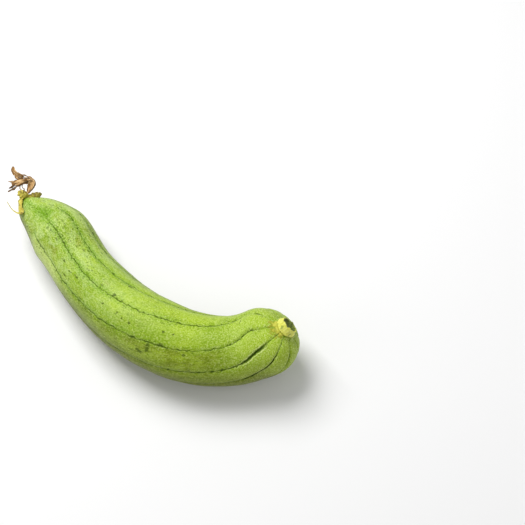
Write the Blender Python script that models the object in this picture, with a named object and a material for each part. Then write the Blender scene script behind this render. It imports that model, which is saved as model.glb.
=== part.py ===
"""One smooth sponge gourd, picked and lying on its side, with its cut stem, calyx and withered flower.

Every piece is modelled along a straight X axis, with the blossom end at x = 0 and the stem end at x =
FRUIT_LENGTH, and is then bent along one guide curve, the middle line of the lying fruit. Across that
axis, an angle is measured from straight up, and grows towards the hollow side of the bend, which is +Y.
"""

import math
import random

import bmesh
import bpy

MM = 0.001

# The fruit's length along its bent middle line, and where that line starts over the table.
FRUIT_LENGTH = 273 * MM
START_OF_MIDDLE_LINE = (-0.10274, 0.06376)

# Tables along the fruit, in millimetres from the blossom end: radius, height of the underside over the
# table, heading of the middle line from +X, and how far the ten lines have wound round the fruit.
RADIUS_MM = (
    (0, 5.0),
    (2, 7.4),
    (4.5, 9.7),
    (7, 11.4),
    (15, 15.6),
    (22, 18.8),
    (30, 21.8),
    (41, 24.6),
    (60, 24.3),
    (82, 24.4),
    (105, 25.8),
    (142, 27.8),
    (170, 28.3),
    (218, 26.8),
    (248, 26.2),
    (273, 27.0),
)
UNDERSIDE_MM = (
    (0, 29.5),
    (4.5, 23.5),
    (15, 14.5),
    (30, 5),
    (41, 1.5),
    (60, 0),
    (218, 0),
    (230, 1),
    (240, 3.6),
    (250, 8),
    (260, 14),
    (273, 23.5),
)
HEADING_DEG = (
    (0, -62),
    (10, -38),
    (22, -40),
    (45, -53),
    (60, -58),
    (80, -55),
    (95, -50),
    (114, -46),
    (133, -39),
    (156, -30),
    (180, -20),
    (203, -6),
    (228, 8),
    (245, 12),
    (273, 20),
)
LINE_TURN_DEG = (
    (0, 9),
    (41, 8),
    (75, 6),
    (105, 8),
    (142, 18),
    (190, 34),
    (218, 46),
    (250, 65),
    (273, 72),
)

# How far the soft skin is pressed flat where the fruit lies on it.
PRESSED_FLAT = 0.35 * MM

# The domed stem end, and the neck of skin that carries the cut stalk.
STEM_DOME = 25 * MM
DOME_POWER = 2.3
DOME_RINGS = 9
DOME_RELIEF_LOST = 0.7
NECK_RADIUS = 9.0 * MM
NECK_LENGTH = 1.5 * MM
RING_STEP = 5.5 * MM

# The rings that round off the blossom end: a place along the fruit, and the share of the relief there.
TIP_RINGS_MM = ((0, 0), (1, 0.2), (2.2, 0.5), (3.8, 0.8))

# The ten lines: the angle where each starts, and the furrow with raised lips that it lies in.
LINE_ANGLES_DEG = (-17, 21, 52, 85, 120, 156, 192, 228, 261, 300)
FURROW_DEPTH_MM = ((0, 0.1), (20, 0.45), (215, 0.6), (250, 1.2), (273, 0.3))
FURROW_SHOULDER = 0.08
LIP_HEIGHT = 0.15 * MM
LOBE_HEIGHT_MM = ((0, 0.1), (20, 0.45), (215, 0.5), (250, 0.9), (273, 0.2))
COLUMNS = (0, FURROW_SHOULDER, 0.3, 0.5, 0.7, 1 - FURROW_SHOULDER)

# The gap that neighbouring pieces keep, and the distance under which joined points become one.
GAP = 0.3 * MM
SLIVER = 0.04 * MM

# The cut stalk: a short hollow stub, cut aslant. Its profile runs from the foot up over the rim and down
# into the hollow, as a radius in millimetres and a share of the stub's height.
STUB_PROFILE = (
    (8.6, 0),
    (7.7, 0.3),
    (6.9, 0.65),
    (6.9, 0.93),
    (6.15, 1),
    (5.4, 0.95),
    (4.6, 0.6),
    (2.4, 0.4),
)
STUB_HEIGHT = 4.5 * MM
STUB_SLANT = 1.6 * MM
STUB_TALL_SIDE_DEG = -35
STUB_RAGGED = 0.4 * MM
STUB_COLUMNS = 32

# The calyx: a shallow cup with five long-pointed sepals. The cup's profile runs from its foot up over the
# rim and down to its floor, as a height and a radius in millimetres.
CUP_PROFILE_MM = ((0, 4.4), (0.4, 4.9), (1.5, 6.2), (1.8, 5.6), (1.5, 5.0), (0.8, 3.1))
CUP_COLUMNS = 28

# Each sepal is a width, its twist in degrees from root to tip, and a path of places from the cup outwards.
# A place at this end of the fruit is (out from the blossom end, towards the hollow side, up).
SEPALS = (
    (5.0, 0, ((0.9, -2.6, 3.6), (0.6, -4.4, 5.2), (-2.0, -7.2, 6.6), (-4.4, -9.6, 6.8), (-5.6, -11.6, 6.2),
              (-4.0, -13.0, 5.2), (-1.0, -13.6, 4.4), (2.2, -13.4, 3.8), (4.8, -13.0, 3.4))),
    (5.2, 0, ((0.9, -0.4, 4.4), (3.2, -0.4, 5.2), (6.6, -0.4, 4.9), (9.6, 0.0, 3.8))),
    (5.0, 75, ((1.1, 4.7, 2.2), (1.7, 7.2, 3.4), (0.2, 10.6, 3.8), (-2.6, 13.5, 2.8))),
    (4.4, 0, ((1.0, 1.8, -4.4), (1.5, 3.0, -7.2), (-0.4, 4.4, -10.4), (-3.6, 5.6, -12.8))),
    (4.6, 0, ((1.0, -3.0, -3.8), (2.0, -5.0, -6.2), (3.0, -7.2, -8.6), (2.0, -9.6, -10.6))),
)
SEPAL_THICKNESS = 0.9 * MM
SEPAL_TIP = 0.14
SEPAL_TAPER = 0.8
SEPAL_THINNING = 0.25
SEPAL_STEPS_PER_POINT = 3

# The withered flower: shrivelled petals twisted together. Each strand is a width, a thickness, the turn of
# its flat side at its root, its twist along its length, and a path of places as above.
STRANDS = (
    (5.8, 2.8, 10, 290, ((2.45, 0.6, 0.0), (4.0, 2.6, 0.2), (6.4, 6.8, 1.0), (8.9, 10.2, 1.5),
                         (11.6, 12.0, 1.5), (15.3, 11.1, 0.5), (18.8, 9.2, 0.0), (22.0, 7.3, 0.5),
                         (24.6, 4.2, 1.0), (27.0, 2.4, 0.5), (30.5, 3.3, -0.5))),
    (6.4, 1.8, 75, 30, ((12.4, 11.4, 0.4), (14.4, 9.4, -0.6), (15.8, 6.4, 0.0), (16.6, 2.8, 1.0),
                        (17.0, -0.8, 1.8), (18.0, -3.9, 2.0))),
    (3.4, 1.5, 40, -100, ((11.4, 11.6, 1.4), (12.8, 9.2, 2.2), (13.2, 5.6, 2.8), (13.0, 1.6, 2.8),
                          (13.2, -2.1, 2.0), (13.1, -5.8, 1.0), (13.4, -9.4, 0.0))),
    (2.6, 1.3, 60, 60, ((19.4, 8.9, 0.0), (19.0, 6.0, -0.6), (19.6, 3.6, 0.0), (22.0, 3.2, 0.4),
                        (24.2, 4.4, 0.8))),
    (2.0, 1.0, 60, 80, ((16.8, 1.6, 1.2), (18.6, -0.6, 1.4), (19.6, -2.6, 1.6), (21.1, -5.2, 1.6))),
    (2.0, 1.0, 80, -60, ((16.4, 0.4, 1.8), (15.8, -2.4, 2.2), (14.9, -5.3, 2.4))),
    (2.6, 1.3, 70, 100, ((4.4, 4.0, 0.3), (6.2, 3.0, 0.2), (7.9, 2.0, 0.4), (9.4, 0.6, 0.6))),
)
STRAND_STEPS_PER_POINT = 2
STRAND_TIP = 0.3
STRAND_FULLNESS = 0.6
STRAND_THINNING = 0.35
STRAND_CRUMPLE = 0.1
STRIP_SIDES = 8

# Edges that turn more than this stay sharp under the smooth shading.
SHARP_DEG = 50

LOOKS = {
    "gourd": ((0.36, 0.52, 0.11), 0.45),
    "stem_stub": ((0.56, 0.60, 0.11), 0.6),
    "calyx": ((0.50, 0.40, 0.06), 0.7),
    "withered_corolla": ((0.42, 0.22, 0.08), 0.85),
}


def smooth(table, at):
    """The value of a table at a place, on a smooth curve through its rows, held level past both ends."""
    if at <= table[0][0]:
        return table[0][1]
    if at >= table[-1][0]:
        return table[-1][1]
    row = next(i for i in range(len(table) - 1) if at <= table[i + 1][0])

    def slope(i):
        before, after = table[max(i - 1, 0)], table[min(i + 1, len(table) - 1)]
        return (after[1] - before[1]) / (after[0] - before[0])

    (x0, y0), (x1, y1) = table[row], table[row + 1]
    span = x1 - x0
    t = (at - x0) / span
    rise = t * t * (3 - 2 * t)
    return (
        y0 * (1 - rise)
        + y1 * rise
        + span * t * (1 - t) ** 2 * slope(row)
        - span * t * t * (1 - t) * slope(row + 1)
    )


def around(x, radius, angle):
    """A place at some distance from the straight axis."""
    return (x, radius * math.sin(angle), radius * math.cos(angle))


def height_of_middle(x):
    """Height of the middle line over the table."""
    return (smooth(RADIUS_MM, x / MM) + smooth(UNDERSIDE_MM, x / MM)) * MM - PRESSED_FLAT


def make_guide(step=2.5 * MM):
    """The middle line of the lying fruit, which every piece is bent along."""
    x, y = START_OF_MIDDLE_LINE
    points = [(x, y, height_of_middle(0))]
    for i in range(1, round(FRUIT_LENGTH / step) + 1):
        rise = height_of_middle(i * step) - height_of_middle((i - 1) * step)
        run = math.sqrt(step * step - rise * rise)
        heading = math.radians(smooth(HEADING_DEG, (i - 0.5) * step / MM))
        x += run * math.cos(heading)
        y += run * math.sin(heading)
        points.append((x, y, height_of_middle(i * step)))
    curve = bpy.data.curves.new("middle_line", "CURVE")
    curve.dimensions = "3D"
    curve.twist_mode = "Z_UP"
    curve.use_deform_bounds = False
    spline = curve.splines.new("POLY")
    spline.points.add(len(points) - 1)
    for point, place in zip(spline.points, points):
        point.co = (*place, 1)
    guide = bpy.data.objects.new("middle_line", curve)
    bpy.context.scene.collection.objects.link(guide)
    guide.hide_render = True
    guide.display_type = "WIRE"
    return guide


def loft(rings):
    """A closed body through rings of points, with a fan of triangles over each end."""
    body = bmesh.new()
    loops = [[body.verts.new(point) for point in ring] for ring in rings]
    count = len(rings[0])
    for lower, upper in zip(loops, loops[1:]):
        for i in range(count):
            j = (i + 1) % count
            body.faces.new((lower[i], lower[j], upper[j], upper[i]))
    for loop, order in ((loops[0], -1), (loops[-1], 1)):
        middle = body.verts.new([sum(vert.co[axis] for vert in loop) / count for axis in range(3)])
        for i in range(count):
            j = (i + 1) % count
            body.faces.new((loop[i], loop[j], middle)[::order])
    bmesh.ops.recalc_face_normals(body, faces=body.faces)
    return body


def make_object(name, body):
    """An object of a bmesh, with its own plain material."""
    mesh = bpy.data.meshes.new(name)
    body.to_mesh(mesh)
    body.free()
    piece = bpy.data.objects.new(name, mesh)
    bpy.context.scene.collection.objects.link(piece)
    return piece


def finish(piece, guide):
    """Bend a straight piece along the guide, shade it smooth and give it its material."""
    bend = piece.modifiers.new("bend", "CURVE")
    bend.object = guide
    bend.deform_axis = "POS_X"
    piece.data.shade_smooth()
    piece.data.set_sharp_from_angle(angle=math.radians(SHARP_DEG))
    colour, roughness = LOOKS[piece.name]
    material = bpy.data.materials.new(piece.name)
    material.use_nodes = True
    shader = material.node_tree.nodes["Principled BSDF"]
    shader.inputs["Base Color"].default_value = (*colour, 1)
    shader.inputs["Roughness"].default_value = roughness
    piece.data.materials.clear()
    piece.data.materials.append(material)


def line_angle(line, x):
    """The angle of a line at a place along the fruit; the number of a line past the tenth goes on round."""
    turns, index = divmod(line, len(LINE_ANGLES_DEG))
    return math.radians(LINE_ANGLES_DEG[index] + 360 * turns + smooth(LINE_TURN_DEG, x / MM))


def fruit_ring(x, radius, relief):
    """One ring of the skin, with its ten furrows, their lips and the crowned lobes between them."""
    depth = smooth(FURROW_DEPTH_MM, x / MM) * MM
    crown = smooth(LOBE_HEIGHT_MM, x / MM) * MM
    ring = []
    for line in range(len(LINE_ANGLES_DEG)):
        start, end = line_angle(line, x), line_angle(line + 1, x)
        for share in COLUMNS:
            height = crown * math.sin(math.pi * share)
            height += -depth if share == 0 else 0
            height += LIP_HEIGHT if share in (FURROW_SHOULDER, 1 - FURROW_SHOULDER) else 0
            ring.append(around(x, radius + relief * height, start + (end - start) * share))
    return ring


def make_fruit():
    """The fruit itself: a rounded blossom end, a long body and a domed stem end with a short neck."""
    dome_start = FRUIT_LENGTH - STEM_DOME - NECK_LENGTH
    rings = [fruit_ring(x * MM, smooth(RADIUS_MM, x) * MM, relief) for x, relief in TIP_RINGS_MM]
    steps = round((dome_start - RING_STEP) / RING_STEP)
    for i in range(steps + 1):
        x = RING_STEP + (dome_start - RING_STEP) * i / steps
        rings.append(fruit_ring(x, smooth(RADIUS_MM, x / MM) * MM, 1))
    widest = smooth(RADIUS_MM, dome_start / MM) * MM
    last = math.acos((NECK_RADIUS / widest) ** (DOME_POWER / 2))
    for i in range(1, DOME_RINGS + 1):
        turn = last * i / DOME_RINGS
        x = dome_start + STEM_DOME * math.sin(turn) ** (2 / DOME_POWER)
        relief = 1 - DOME_RELIEF_LOST * i / DOME_RINGS
        rings.append(fruit_ring(x, widest * math.cos(turn) ** (2 / DOME_POWER), relief))
    rings.append(fruit_ring(FRUIT_LENGTH, NECK_RADIUS, 0))
    return make_object("gourd", loft(rings))


def press_flat(fruit):
    """Cut off what would lie below the table, which leaves the narrow flat that the fruit rests on."""
    side, thick = 400 * MM, 20 * MM
    bpy.ops.mesh.primitive_cube_add(size=1, location=(0, 0, -thick / 2), scale=(side, side, thick))
    table = bpy.context.object
    table.name = "table_cutter"
    table.hide_render = True
    table.display_type = "WIRE"
    cut = fruit.modifiers.new("rest", "BOOLEAN")
    cut.operation = "DIFFERENCE"
    cut.object = table


def make_stub():
    """The cut stalk, hollow at the top, higher on one side and ragged round its rim."""
    draw = random.Random(4)
    ragged = [draw.uniform(-STUB_RAGGED, STUB_RAGGED) for _ in range(STUB_COLUMNS)]
    angles = [2 * math.pi * i / STUB_COLUMNS for i in range(STUB_COLUMNS)]
    foot = FRUIT_LENGTH + GAP

    def ring(radius, share):
        points = []
        for angle, rough in zip(angles, ragged):
            slant = STUB_SLANT * math.cos(angle - math.radians(STUB_TALL_SIDE_DEG))
            points.append(around(foot + share * (STUB_HEIGHT + slant + rough), radius, angle))
        return points

    return make_object("stem_stub", loft([ring(radius * MM, share) for radius, share in STUB_PROFILE]))


def unit(vector):
    """A vector shortened or lengthened to one."""
    length = math.sqrt(sum(c * c for c in vector))
    return [c / length for c in vector]


def strip(path, widths, thicknesses, across, rolls):
    """A flat strip with thin edges along a path; across is the width's direction before it is rolled."""
    rings = []
    for i, place in enumerate(path):
        before, after = path[max(i - 1, 0)], path[min(i + 1, len(path) - 1)]
        along = unit([b - a for a, b in zip(before, after)])
        overlap = sum(a * b for a, b in zip(along, across))
        across = unit([b - overlap * a for a, b in zip(along, across)])
        normal = (
            along[1] * across[2] - along[2] * across[1],
            along[2] * across[0] - along[0] * across[2],
            along[0] * across[1] - along[1] * across[0],
        )
        ring = []
        for side in range(STRIP_SIDES):
            turn = 2 * math.pi * side / STRIP_SIDES
            wide = widths[i] / 2 * math.cos(turn)
            thick = thicknesses[i] / 2 * math.sin(turn)
            u = wide * math.cos(rolls[i]) - thick * math.sin(rolls[i])
            v = wide * math.sin(rolls[i]) + thick * math.cos(rolls[i])
            ring.append([p + u * a + v * n for p, a, n in zip(place, across, normal)])
        rings.append(ring)
    return loft(rings)


def path_through(points, steps):
    """Places along a smooth curve through some at the blossom end, with some steps between each two."""
    tables = [[(i, point[axis]) for i, point in enumerate(points)] for axis in range(3)]
    ats = [i / steps for i in range((len(points) - 1) * steps + 1)]
    places = [[smooth(table, at) for table in tables] for at in ats]
    return [(-out * MM, side * MM, up * MM) for out, side, up in places]


def make_cup():
    """The shallow cup of the calyx, turned round the fruit's axis."""
    turns = [2 * math.pi * i / CUP_COLUMNS for i in range(CUP_COLUMNS)]
    rings = [[around(-GAP - up * MM, radius * MM, turn) for turn in turns]
             for up, radius in CUP_PROFILE_MM]
    return make_object("calyx", loft(rings))


def make_sepal(width, twist, points):
    """One long-pointed sepal that grows out of the wall of the cup."""
    path = path_through(points, SEPAL_STEPS_PER_POINT)
    shares = [i / (len(path) - 1) for i in range(len(path))]
    widths = [width * MM * max(SEPAL_TIP, math.cos(0.5 * math.pi * share) ** SEPAL_TAPER) for share in shares]
    thicknesses = [SEPAL_THICKNESS * (1 - SEPAL_THINNING * share) for share in shares]
    around_cup = math.atan2(points[0][1], points[0][2])
    across = (0, math.cos(around_cup), -math.sin(around_cup))
    rolls = [math.radians(twist * share) for share in shares]
    return make_object("sepal", strip(path, widths, thicknesses, across, rolls))


def make_strand(draw, width, thickness, roll, twist, points):
    """One shrivelled strand of the flower: widest near its root, crumpled, and thin at its torn end."""
    path = path_through(points, STRAND_STEPS_PER_POINT)
    shares = [i / (len(path) - 1) for i in range(len(path))]
    widths, thicknesses = [], []
    for share in shares:
        swell = STRAND_TIP + (1 - STRAND_TIP) * math.sin(math.pi * (0.2 + 0.8 * share)) ** STRAND_FULLNESS
        widths.append(width * MM * swell * draw.uniform(1 - STRAND_CRUMPLE, 1 + STRAND_CRUMPLE))
        thicknesses.append(thickness * MM * (1 - STRAND_THINNING * share))
    rolls = [math.radians(roll + twist * share) for share in shares]
    return make_object("strand", strip(path, widths, thicknesses, (0, 0, 1), rolls))


def unite(piece, others):
    """Join others to a piece in one closed body, and remove them."""
    group = bpy.data.collections.new("joined")
    for other in others:
        group.objects.link(other)
    join = piece.modifiers.new("join", "BOOLEAN")
    join.operation = "UNION"
    join.operand_type = "COLLECTION"
    join.collection = group
    join.solver = "MANIFOLD"
    bpy.context.view_layer.objects.active = piece
    with bpy.context.temp_override(object=piece, active_object=piece):
        bpy.ops.object.modifier_apply(modifier=join.name)
    for other in others:
        bpy.data.objects.remove(other)
    bpy.data.collections.remove(group)
    body = bmesh.new()
    body.from_mesh(piece.data)
    bmesh.ops.remove_doubles(body, verts=body.verts, dist=SLIVER)
    bmesh.ops.dissolve_degenerate(body, edges=body.edges, dist=SLIVER)
    bmesh.ops.triangulate(body, faces=body.faces)
    body.to_mesh(piece.data)
    body.free()
    return piece


def main():
    for old in list(bpy.data.objects):
        bpy.data.objects.remove(old)
    guide = make_guide()
    fruit = make_fruit()
    calyx = unite(make_cup(), [make_sepal(*sepal) for sepal in SEPALS])
    draw = random.Random(7)
    strands = [make_strand(draw, *strand) for strand in STRANDS]
    strands[0].name = "withered_corolla"
    corolla = unite(strands[0], strands[1:])
    for piece in (fruit, make_stub(), calyx, corolla):
        finish(piece, guide)
    press_flat(fruit)


main()
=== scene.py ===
# %% [markdown]
# A sponge gourd, picked young and laid on its side. It is one long green fruit, bent in the middle, with ten
# dark lines along it. One end carries the cut, hollow stub of its stalk. The other still carries the dried
# calyx and the withered flower.
# The frame holds the fruit, the stub, the calyx and the flower as plain closed solids. They have the right
# form and place, but no skin. This lesson makes a finer piece over each of them and gives it its finish.

# %% Load the frame
import math
import random
from functools import reduce

import bmesh
import bpy
import numpy as np
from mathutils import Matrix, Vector


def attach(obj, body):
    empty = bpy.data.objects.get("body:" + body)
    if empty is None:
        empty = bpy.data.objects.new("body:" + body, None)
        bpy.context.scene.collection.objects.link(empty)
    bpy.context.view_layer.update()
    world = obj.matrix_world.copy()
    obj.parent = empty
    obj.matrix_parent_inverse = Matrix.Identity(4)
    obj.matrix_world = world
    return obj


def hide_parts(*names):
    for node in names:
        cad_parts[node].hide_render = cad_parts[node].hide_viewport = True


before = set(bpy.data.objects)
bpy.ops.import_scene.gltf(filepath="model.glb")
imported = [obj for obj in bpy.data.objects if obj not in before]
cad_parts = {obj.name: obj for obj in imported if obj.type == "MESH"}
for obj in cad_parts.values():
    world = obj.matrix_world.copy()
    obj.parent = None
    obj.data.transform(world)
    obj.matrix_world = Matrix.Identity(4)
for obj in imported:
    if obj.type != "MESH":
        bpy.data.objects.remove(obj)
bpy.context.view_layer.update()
print("solids:", ", ".join(sorted(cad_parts)))

# %% [markdown]
# The camera comes first, so that every later step can be looked at. It stands in front of the table and looks
# down steeply, because the gourd is seen from above its side. A lens of 85 mm keeps the far end from
# shrinking much.

# %% Camera
MM = 0.001
LOOK_AT = Vector((89.15, 12.26, 25)) * MM
LOOK_DOWN_DEG = 65
LOOK_FROM = 991.7 * MM
LENS_MM = 85

camera = bpy.data.objects.new("camera", bpy.data.cameras.new("camera"))
bpy.context.scene.collection.objects.link(camera)
camera.data.lens = LENS_MM
down = math.radians(LOOK_DOWN_DEG)
camera.location = LOOK_AT + LOOK_FROM * Vector((0, -math.cos(down), math.sin(down)))
camera.rotation_euler = (math.radians(90) - down, 0, 0)
bpy.context.scene.camera = camera
print("camera at", [round(place, 3) for place in camera.location])

# %% [markdown]
# The fruit's form is told by a few tables along its length, in millimetres from the blossom end: how thick it
# is, how high its underside lies, where its middle line heads, and how far the ten lines wind round it. A
# table is read on a smooth curve through its rows, as one bends a thin batten through nails. The alternative,
# sculpting by eye, could not keep the fruit inside its solid.

# %% The fruit in numbers
LENGTH_MM = 273
RADIUS_MM = ((0, 5.0), (2, 7.4), (4.5, 9.7), (7, 11.4), (15, 15.6), (22, 18.8), (30, 21.8), (41, 24.6),
             (60, 24.3), (82, 24.4), (105, 25.8), (142, 27.8), (170, 28.3), (218, 26.8), (248, 26.2),
             (273, 27.0))
UNDERSIDE_MM = ((0, 29.5), (4.5, 23.5), (15, 14.5), (30, 5), (41, 1.5), (60, 0), (218, 0), (230, 1),
                (240, 3.6), (250, 8), (260, 14), (273, 23.5))
HEADING_DEG = ((0, -62), (10, -38), (22, -40), (45, -53), (60, -58), (80, -55), (95, -50), (114, -46),
               (133, -39), (156, -30), (180, -20), (203, -6), (228, 8), (245, 12), (273, 20))
LINE_TURN_DEG = ((0, 9), (41, 8), (75, 6), (105, 8), (142, 18), (190, 34), (218, 46), (250, 65), (273, 72))
LINE_ANGLES_DEG = (-17, 21, 52, 85, 120, 156, 192, 228, 261, 300)
LINES = len(LINE_ANGLES_DEG)
START_OF_MIDDLE_LINE = (-0.10274, 0.06376)
PRESSED_FLAT_MM = 0.35
READ_STEP_MM = 0.5


def smooth(table, at):
    """The value of a table at a place, on a smooth curve through its rows, held level past both ends."""
    if at <= table[0][0]:
        return table[0][1]
    if at >= table[-1][0]:
        return table[-1][1]
    row = next(i for i in range(len(table) - 1) if at <= table[i + 1][0])

    def slope(i):
        before, after = table[max(i - 1, 0)], table[min(i + 1, len(table) - 1)]
        return (after[1] - before[1]) / (after[0] - before[0])

    (x0, y0), (x1, y1) = table[row], table[row + 1]
    span = x1 - x0
    t = (at - x0) / span
    rise = t * t * (3 - 2 * t)
    bend = t * (1 - t) ** 2 * slope(row) - t * t * (1 - t) * slope(row + 1)
    return y0 * (1 - rise) + y1 * rise + span * bend


def read_many(table, places):
    """A table read at many places at once."""
    marks = np.arange(0, LENGTH_MM + READ_STEP_MM, READ_STEP_MM)
    return np.interp(places, marks, [smooth(table, mark) for mark in marks])


print("thickest:", 2 * max(radius for _, radius in RADIUS_MM), "mm")

# %% [markdown]
# Everything is modelled straight, along X, and bent afterwards, because a straight fruit is easy to cut into
# rings. Blender's Curve modifier then bends it along a guide, the middle line of the lying fruit.

# %% The guide that everything is bent along
GUIDE_STEP_MM = 2.5


def height_of_middle(x_mm):
    """Height of the middle line over the table, in millimetres."""
    return smooth(RADIUS_MM, x_mm) + smooth(UNDERSIDE_MM, x_mm) - PRESSED_FLAT_MM


x, y = START_OF_MIDDLE_LINE
places = [(x, y, height_of_middle(0) * MM)]
for i in range(1, round(LENGTH_MM / GUIDE_STEP_MM) + 1):
    here = i * GUIDE_STEP_MM
    rise = height_of_middle(here) - height_of_middle(here - GUIDE_STEP_MM)
    run = math.sqrt(GUIDE_STEP_MM ** 2 - rise ** 2)
    heading = math.radians(smooth(HEADING_DEG, here - GUIDE_STEP_MM / 2))
    x += run * math.cos(heading) * MM
    y += run * math.sin(heading) * MM
    places.append((x, y, height_of_middle(here) * MM))

curve = bpy.data.curves.new("middle_line", "CURVE")
curve.dimensions = "3D"
curve.twist_mode = "Z_UP"
curve.use_deform_bounds = False
spline = curve.splines.new("POLY")
spline.points.add(len(places) - 1)
for point, place in zip(spline.points, places):
    point.co = (*place, 1)
guide = bpy.data.objects.new("middle_line", curve)
bpy.context.scene.collection.objects.link(guide)
print("guide of", len(places), "points")

# %% Small helpers for modelling
CLOUD_BASES = ("BLENDER_ORIGINAL", "ORIGINAL_PERLIN")


def start_alone():
    """Leave edit mode and select nothing, so that the next operator acts on its own piece only."""
    if bpy.context.object and bpy.context.object.mode != "OBJECT":
        bpy.ops.object.mode_set(mode="OBJECT")
    bpy.ops.object.select_all(action="DESELECT")


def work_on(piece):
    """Make a piece the only selected and active one."""
    start_alone()
    piece.select_set(True)
    bpy.context.view_layer.objects.active = piece


def pick(piece, wanted):
    """In edit mode, select the points whose place passes a test."""
    shape = bmesh.from_edit_mesh(piece.data)
    for vert in shape.verts:
        vert.select = bool(wanted(vert.co))
    shape.select_flush_mode()
    bmesh.update_edit_mesh(piece.data)


def apply_all(piece):
    """Apply a piece's modifiers, from the first to the last."""
    work_on(piece)
    for name in [modifier.name for modifier in piece.modifiers]:
        bpy.ops.object.modifier_apply(modifier=name)


def bend(piece):
    """Bend a straight piece along the guide."""
    modifier = piece.modifiers.new("bend", "CURVE")
    modifier.object = guide
    modifier.deform_axis = "POS_X"
    apply_all(piece)


def subdivide(piece, levels):
    """Round a piece off with a subdivision surface, and keep the result."""
    modifier = piece.modifiers.new("round", "SUBSURF")
    modifier.levels = modifier.render_levels = levels
    apply_all(piece)


def push(piece, strength_mm, group=None, cloud_mm=None, seed=0):
    """Push the surface in or out along its normals, by a vertex group or by a cloud pattern."""
    modifier = piece.modifiers.new("push", "DISPLACE")
    modifier.strength = strength_mm * MM
    modifier.mid_level = 0
    if group:
        modifier.vertex_group = group
    if cloud_mm:
        cloud = bpy.data.textures.new("cloud", "CLOUDS")
        cloud.noise_scale = cloud_mm * MM
        cloud.noise_depth = 1
        cloud.noise_basis = CLOUD_BASES[seed]
        modifier.texture = cloud
        modifier.texture_coords = "LOCAL"
        modifier.mid_level = 0.5
    apply_all(piece)


def recalculate(piece):
    """Merge doubled points and turn every face outwards."""
    work_on(piece)
    bpy.ops.object.mode_set(mode="EDIT")
    bpy.ops.mesh.select_all(action="SELECT")
    bpy.ops.mesh.remove_doubles(threshold=0.00001)
    bpy.ops.mesh.normals_make_consistent(inside=False)
    bpy.ops.object.mode_set(mode="OBJECT")


def points_of(piece):
    """A piece's points as an array, in millimetres."""
    flat = np.empty(len(piece.data.vertices) * 3, np.float32)
    piece.data.vertices.foreach_get("co", flat)
    return flat.reshape(-1, 3).astype(float) / MM


# %% [markdown]
# The fruit starts as a circle of sixty points: six for each line, one of them in the line itself and its two
# neighbours close by, where the furrow's lips will be. The circle is extruded station by station. Each new
# ring is resized to the fruit's thickness there and turned a little, so the columns of faces follow the lines
# as they wind. A plain tube with a pattern painted on it would be quicker, but the furrows would not show in
# the outline or catch the light.

# %% Stations along the fruit
RING_STEP_MM = 3.6
TIP_RINGS_MM = (0, 1, 2.2, 3.8)
BODY_START_MM = 5.5
STEM_DOME_MM = 25
DOME_POWER = 2.3
DOME_RINGS = 12
NECK_RADIUS_MM = 9.0
NECK_LENGTH_MM = 1.5
LINE_SHOULDER = 0.08
COLUMNS = (0, LINE_SHOULDER, 0.3, 0.5, 0.7, 1 - LINE_SHOULDER)

stations = [(mark, smooth(RADIUS_MM, mark)) for mark in TIP_RINGS_MM]
dome_start = LENGTH_MM - STEM_DOME_MM - NECK_LENGTH_MM
steps = round((dome_start - BODY_START_MM) / RING_STEP_MM)
for i in range(steps + 1):
    mark = BODY_START_MM + (dome_start - BODY_START_MM) * i / steps
    stations.append((mark, smooth(RADIUS_MM, mark)))
widest = smooth(RADIUS_MM, dome_start)
last_turn = math.acos((NECK_RADIUS_MM / widest) ** (DOME_POWER / 2))
for i in range(1, DOME_RINGS + 1):
    turn = last_turn * i / DOME_RINGS
    mark = dome_start + STEM_DOME_MM * math.sin(turn) ** (2 / DOME_POWER)
    stations.append((mark, widest * math.cos(turn) ** (2 / DOME_POWER)))
stations.append((LENGTH_MM, NECK_RADIUS_MM))
print(len(stations), "stations")

# %% Extrude the fruit ring by ring
SAME_PLACE = 1e-6
END_RINGS = (0.6, 0.5)


def around(x_mm, radius_mm, angle_deg):
    """A place at some distance from the straight axis; the angle grows from straight up towards +Y."""
    angle = math.radians(angle_deg)
    return Vector((x_mm, radius_mm * math.sin(angle), radius_mm * math.cos(angle))) * MM


def extrude_along(stations_mm, turn_table=((0, 0), (LENGTH_MM, 0))):
    """Extrude the selected ring through stations of a place and a radius, turning it by a table."""
    for (x0, r0), (x1, r1) in zip(stations_mm, stations_mm[1:]):
        middle = (x1 * MM, 0, 0)
        bpy.ops.mesh.extrude_region_move(TRANSFORM_OT_translate={"value": ((x1 - x0) * MM, 0, 0)})
        bpy.ops.transform.resize(value=(1, r1 / r0, r1 / r0), center_override=middle)
        turned = math.radians(smooth(turn_table, x1) - smooth(turn_table, x0))
        if turned:
            bpy.ops.transform.rotate(value=turned, orient_axis="X", center_override=middle)


def close_ring():
    """Close the selected ring with faces that meet in its middle."""
    bpy.ops.mesh.extrude_region_move()
    bpy.ops.mesh.merge(type="CENTER")


def close_end(piece, x_mm):
    """Close the open ring at a place with two smaller rings and a middle point."""
    pick(piece, lambda co: abs(co.x - x_mm * MM) < SAME_PLACE)
    for share in END_RINGS:
        bpy.ops.mesh.extrude_region_move()
        bpy.ops.transform.resize(value=(1, share, share), center_override=(x_mm * MM, 0, 0))
    close_ring()


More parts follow.
